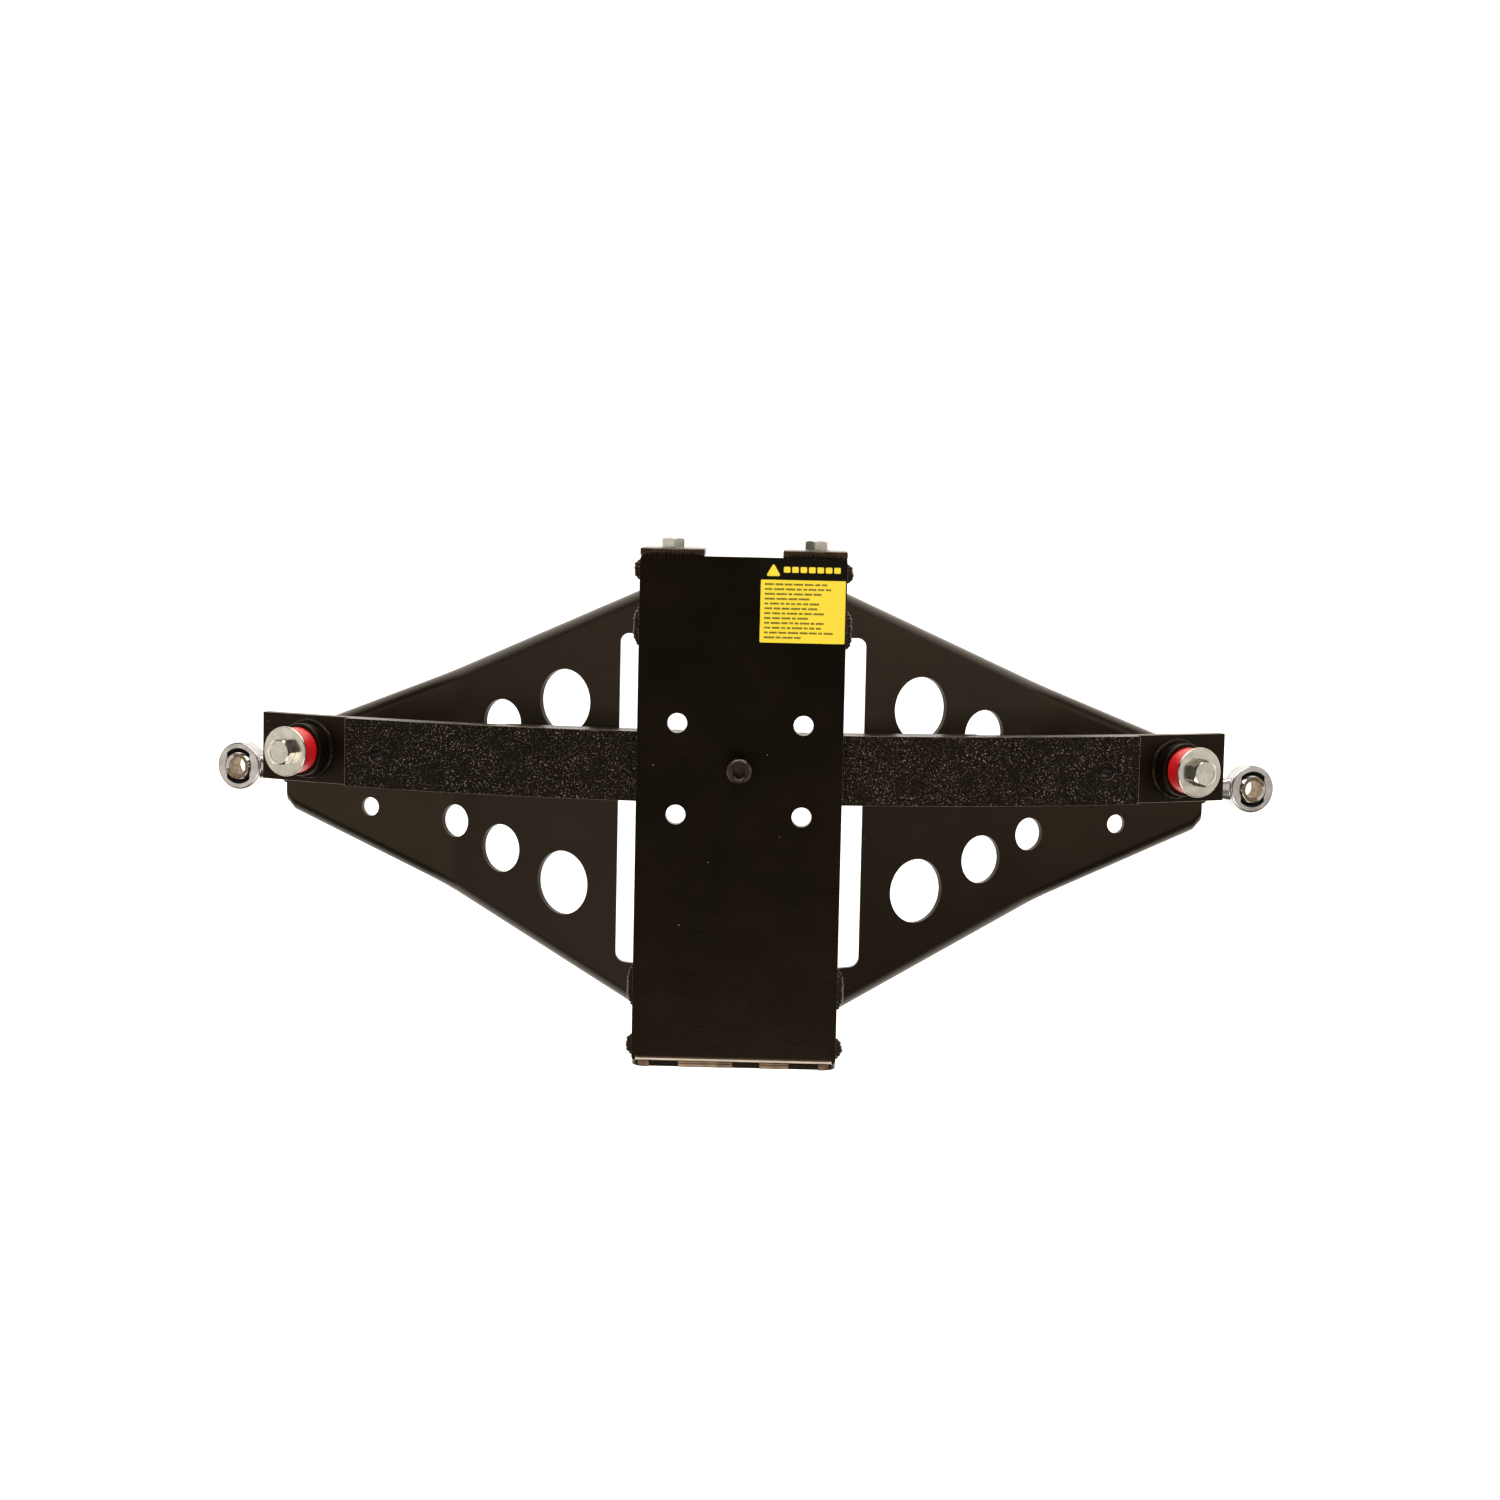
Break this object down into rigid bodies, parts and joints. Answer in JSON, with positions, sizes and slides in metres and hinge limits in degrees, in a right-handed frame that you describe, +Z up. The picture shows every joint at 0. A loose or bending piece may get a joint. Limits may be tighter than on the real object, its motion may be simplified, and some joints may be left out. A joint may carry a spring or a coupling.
{
  "type": "transverse leaf spring suspension unit",
  "caption": "Hinge bracket with a transverse leaf spring and two hinged pressed A-arms that carry swivelling rod ends, for the front of a light vehicle.",
  "frame": {"origin": "centre of the four frame bolt holes, on the top face of the top plate", "axes": "+Z up out of the top plate, +Y towards the vehicle's front, +X towards its right side, along the spring"},
  "size_m": [0.7402, 0.3357, 0.2179],
  "materials": {
    "bracket_paint": "semi-gloss black powder coat",
    "arm_paint": "satin black paint",
    "leaf_paint": "satin black paint",
    "upper_leaf_paint": "gloss black paint over shot-peened steel",
    "zinc": "zinc plated",
    "black_oxide": "black oxide",
    "rivet_steel": "black oxide",
    "bare_steel": "ground steel",
    "plated_steel": "bright plated forging",
    "ball_steel": "polished steel",
    "liner": "dark moulded liner",
    "red_polyurethane": "red polyurethane",
    "label": "printed vinyl"
  },
  "bodies": {
    "bracket": {"top_plate": "bracket_paint", "front_left_tab": "bracket_paint", "front_right_tab": "bracket_paint", "front_inner_plate": "bracket_paint", "rear_inner_plate": "bracket_paint", "rear_outer_plate": "bracket_paint", "rear_end_plate": "bracket_paint", "front_gussets": "bracket_paint", "rear_gussets": "bracket_paint", "bracket_welds": "bracket_paint", "caution_label": "label", "upper_leaf": "upper_leaf_paint", "main_leaf": "leaf_paint", "third_leaf": "leaf_paint", "spring_keeper": "bracket_paint", "centre_screw": "black_oxide", "centre_nut": "zinc", "spring_rivets": "rivet_steel", "left_upper_boss": "leaf_paint", "right_upper_boss": "leaf_paint", "left_lower_boss": "leaf_paint", "right_lower_boss": "leaf_paint", "left_upper_bushing": "red_polyurethane", "right_upper_bushing": "red_polyurethane", "left_lower_bushing": "red_polyurethane", "right_lower_bushing": "red_polyurethane", "front_hinge_bolts": "zinc", "rear_hinge_bolts": "zinc", "hinge_nuts": "zinc", "hinge_washers": "zinc", "hinge_sleeves": "bare_steel"},
    "left_arm": {"left_arm_plate": "arm_paint", "left_front_tube": "arm_paint", "left_rear_tube": "arm_paint", "left_front_bushing": "red_polyurethane", "left_rear_bushing": "red_polyurethane", "left_bung": "arm_paint", "left_jam_nut": "zinc", "left_rod_end": "plated_steel", "left_race": "liner"},
    "left_swivel": {"left_ball": "ball_steel"},
    "left_king_pin": {"left_king_bolt": "zinc", "left_king_washers": "zinc", "left_king_sleeve": "bare_steel", "left_king_nut": "zinc"},
    "right_arm": {"right_arm_plate": "arm_paint", "right_front_tube": "arm_paint", "right_rear_tube": "arm_paint", "right_front_bushing": "red_polyurethane", "right_rear_bushing": "red_polyurethane", "right_bung": "arm_paint", "right_jam_nut": "zinc", "right_rod_end": "plated_steel", "right_race": "liner"},
    "right_swivel": {"right_ball": "ball_steel"},
    "right_king_pin": {"right_king_bolt": "zinc", "right_king_washers": "zinc", "right_king_sleeve": "bare_steel", "right_king_nut": "zinc"}
  },
  "joints": [
    {"name": "left_arm_swing", "type": "hinge", "parent": "bracket", "child": "left_arm", "pos_m": [-0.046, -0.0245, -0.028], "axis": [0, 1, 0], "range_deg": [0, 9]},
    {"name": "right_arm_swing", "type": "hinge", "parent": "bracket", "child": "right_arm", "pos_m": [0.046, -0.0245, -0.028], "axis": [0, -1, 0], "range_deg": [0, 9]},
    {"name": "left_ball_tilt", "type": "hinge", "parent": "left_arm", "child": "left_swivel", "pos_m": [-0.35239, -0.0245, -0.19684], "axis": [0, 1, 0], "range_deg": [-13, 13]},
    {"name": "right_ball_tilt", "type": "hinge", "parent": "right_arm", "child": "right_swivel", "pos_m": [0.35239, -0.0245, -0.19684], "axis": [0, -1, 0], "range_deg": [-13, 13]},
    {"name": "left_king_turn", "type": "hinge", "parent": "bracket", "child": "left_king_pin", "pos_m": [-0.28527, 0, -0.07824], "axis": [-0.4226, 0, 0.9063], "continuous": true},
    {"name": "right_king_turn", "type": "hinge", "parent": "bracket", "child": "right_king_pin", "pos_m": [0.28527, 0, -0.07824], "axis": [0.4226, 0, 0.9063], "continuous": true}
  ]
}
